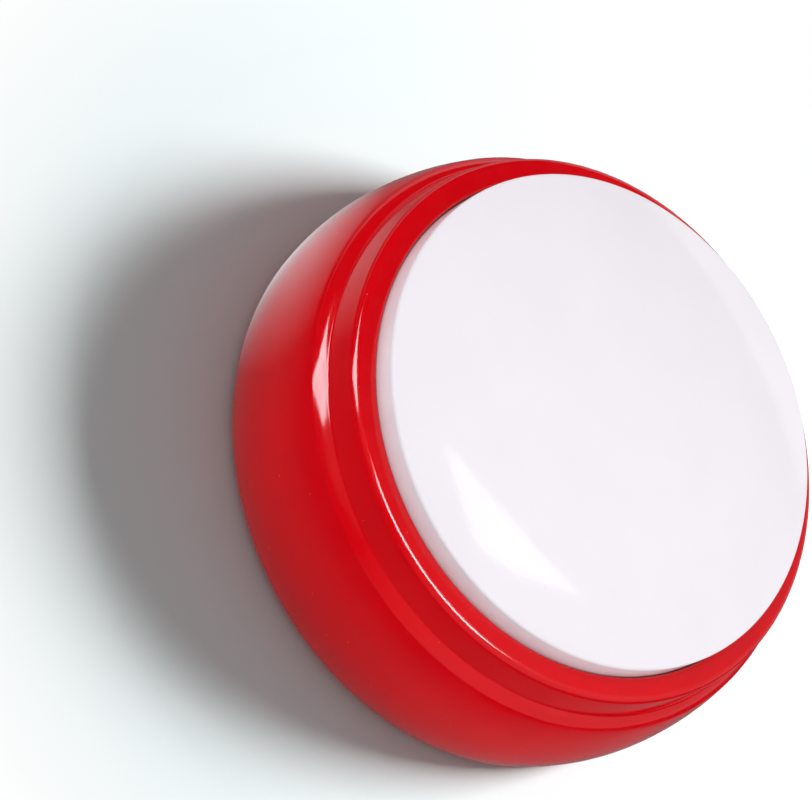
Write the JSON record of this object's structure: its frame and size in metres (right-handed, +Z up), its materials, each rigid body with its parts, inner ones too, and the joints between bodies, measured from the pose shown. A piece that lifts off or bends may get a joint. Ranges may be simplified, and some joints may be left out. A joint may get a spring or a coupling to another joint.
{
  "type": "talking clock",
  "caption": "Round tabletop talking clock with one large domed push button in a collared housing; speaker, setting keys and battery bay underneath.",
  "frame": {"origin": "middle of the footprint, on the surface that the clock stands on", "axes": "+Z up, along the button's travel; the battery door lies towards -Y, the speaker towards +Y and the alarm slider towards +X"},
  "size_m": [0.1104, 0.1104, 0.046],
  "materials": {
    "red_gloss_abs": "glossy moulded ABS",
    "red_satin_abs": "satin moulded ABS",
    "white_gloss_abs": "glossy moulded ABS with a lavender tinge",
    "white_satin_abs": "satin moulded ABS",
    "black_satin_abs": "satin moulded plastic",
    "black_rubber": "matt",
    "zinc_steel": "zinc plated",
    "spring_steel": "drawn wire",
    "nickel_steel": "nickel plated strip",
    "cell_jacket": "plain shrink sleeve over a steel can",
    "cone_paper": "pressed pulp",
    "ferrite": "matt sintered",
    "board_laminate": "green solder mask",
    "switch_black": "moulded",
    "switch_white": "moulded",
    "switch_metal": "tinned shell",
    "epoxy_black": "cured drop",
    "crystal_can": "plated can",
    "capacitor_sleeve": "dark blue sleeve",
    "wire_red": "PVC insulation",
    "wire_black": "PVC insulation",
    "wire_grey": "PVC insulation"
  },
  "bodies": {
    "housing": {"upper_housing": "red_gloss_abs", "button_spring": "spring_steel", "base_plate": "red_satin_abs", "housing_screws": "zinc_steel", "foot_right": "black_rubber", "foot_rear": "black_rubber", "foot_left": "black_rubber", "foot_front": "black_rubber", "aaa_cell_rear": "cell_jacket", "aaa_cell_front": "cell_jacket", "bridge_contact": "nickel_steel", "positive_contact": "nickel_steel", "negative_contact": "nickel_steel", "speaker_frame": "zinc_steel", "speaker_cone": "cone_paper", "speaker_magnet": "ferrite", "circuit_board": "board_laminate", "board_screws": "zinc_steel", "press_switch": "switch_metal", "mode_key_switch": "switch_metal", "hour_key_switch": "switch_metal", "minute_key_switch": "switch_metal", "alarm_switch": "switch_metal", "voice_chip": "epoxy_black", "crystal": "crystal_can", "capacitor": "capacitor_sleeve", "speaker_lead": "wire_grey", "battery_lead_black": "wire_black", "battery_lead_red": "wire_red"},
    "button": {"button_cap": "white_gloss_abs", "cap_screws": "zinc_steel"},
    "press_stem": {"press_switch_stem": "switch_black"},
    "mode_key_body": {"mode_key": "white_satin_abs", "mode_key_switch_stem": "switch_black"},
    "hour_key_body": {"hour_key": "white_satin_abs", "hour_key_switch_stem": "switch_black"},
    "minute_key_body": {"minute_key": "white_satin_abs", "minute_key_switch_stem": "switch_black"},
    "alarm_slider": {"alarm_knob": "black_satin_abs", "alarm_lever": "switch_white"},
    "battery_cover": {"battery_door": "red_satin_abs"}
  },
  "joints": [
    {"name": "press", "type": "slide", "parent": "housing", "child": "button", "axis": [0, 0, -1], "range_m": [0, 0.003], "stiffness_N_per_m": 600, "springref_m": -0.004, "deforming": ["button_spring"]},
    {"name": "press_switch_travel", "type": "slide", "parent": "housing", "child": "press_stem", "axis": [0, 0, -1], "range_m": [0, 0.0003]},
    {"name": "mode_press", "type": "slide", "parent": "housing", "child": "mode_key_body", "axis": [0, 0, 1], "range_m": [0, 0.0003], "stiffness_N_per_m": 1500, "springref_m": -0.0003},
    {"name": "hour_press", "type": "slide", "parent": "housing", "child": "hour_key_body", "axis": [0, 0, 1], "range_m": [0, 0.0003], "stiffness_N_per_m": 1500, "springref_m": -0.0003},
    {"name": "minute_press", "type": "slide", "parent": "housing", "child": "minute_key_body", "axis": [0, 0, 1], "range_m": [0, 0.0003], "stiffness_N_per_m": 1500, "springref_m": -0.0003},
    {"name": "alarm_slide", "type": "slide", "parent": "housing", "child": "alarm_slider", "axis": [1, 0, 0], "range_m": [0, 0.0025]},
    {"name": "battery_door_hinge", "type": "hinge", "parent": "housing", "child": "battery_cover", "pos_m": [0, -0.0062, 0.0012], "axis": [1, 0, 0], "range_deg": [0, 60]}
  ],
  "couplings": [
    {"joint": "press_switch_travel", "follows": "press", "ratio": 0.1}
  ]
}
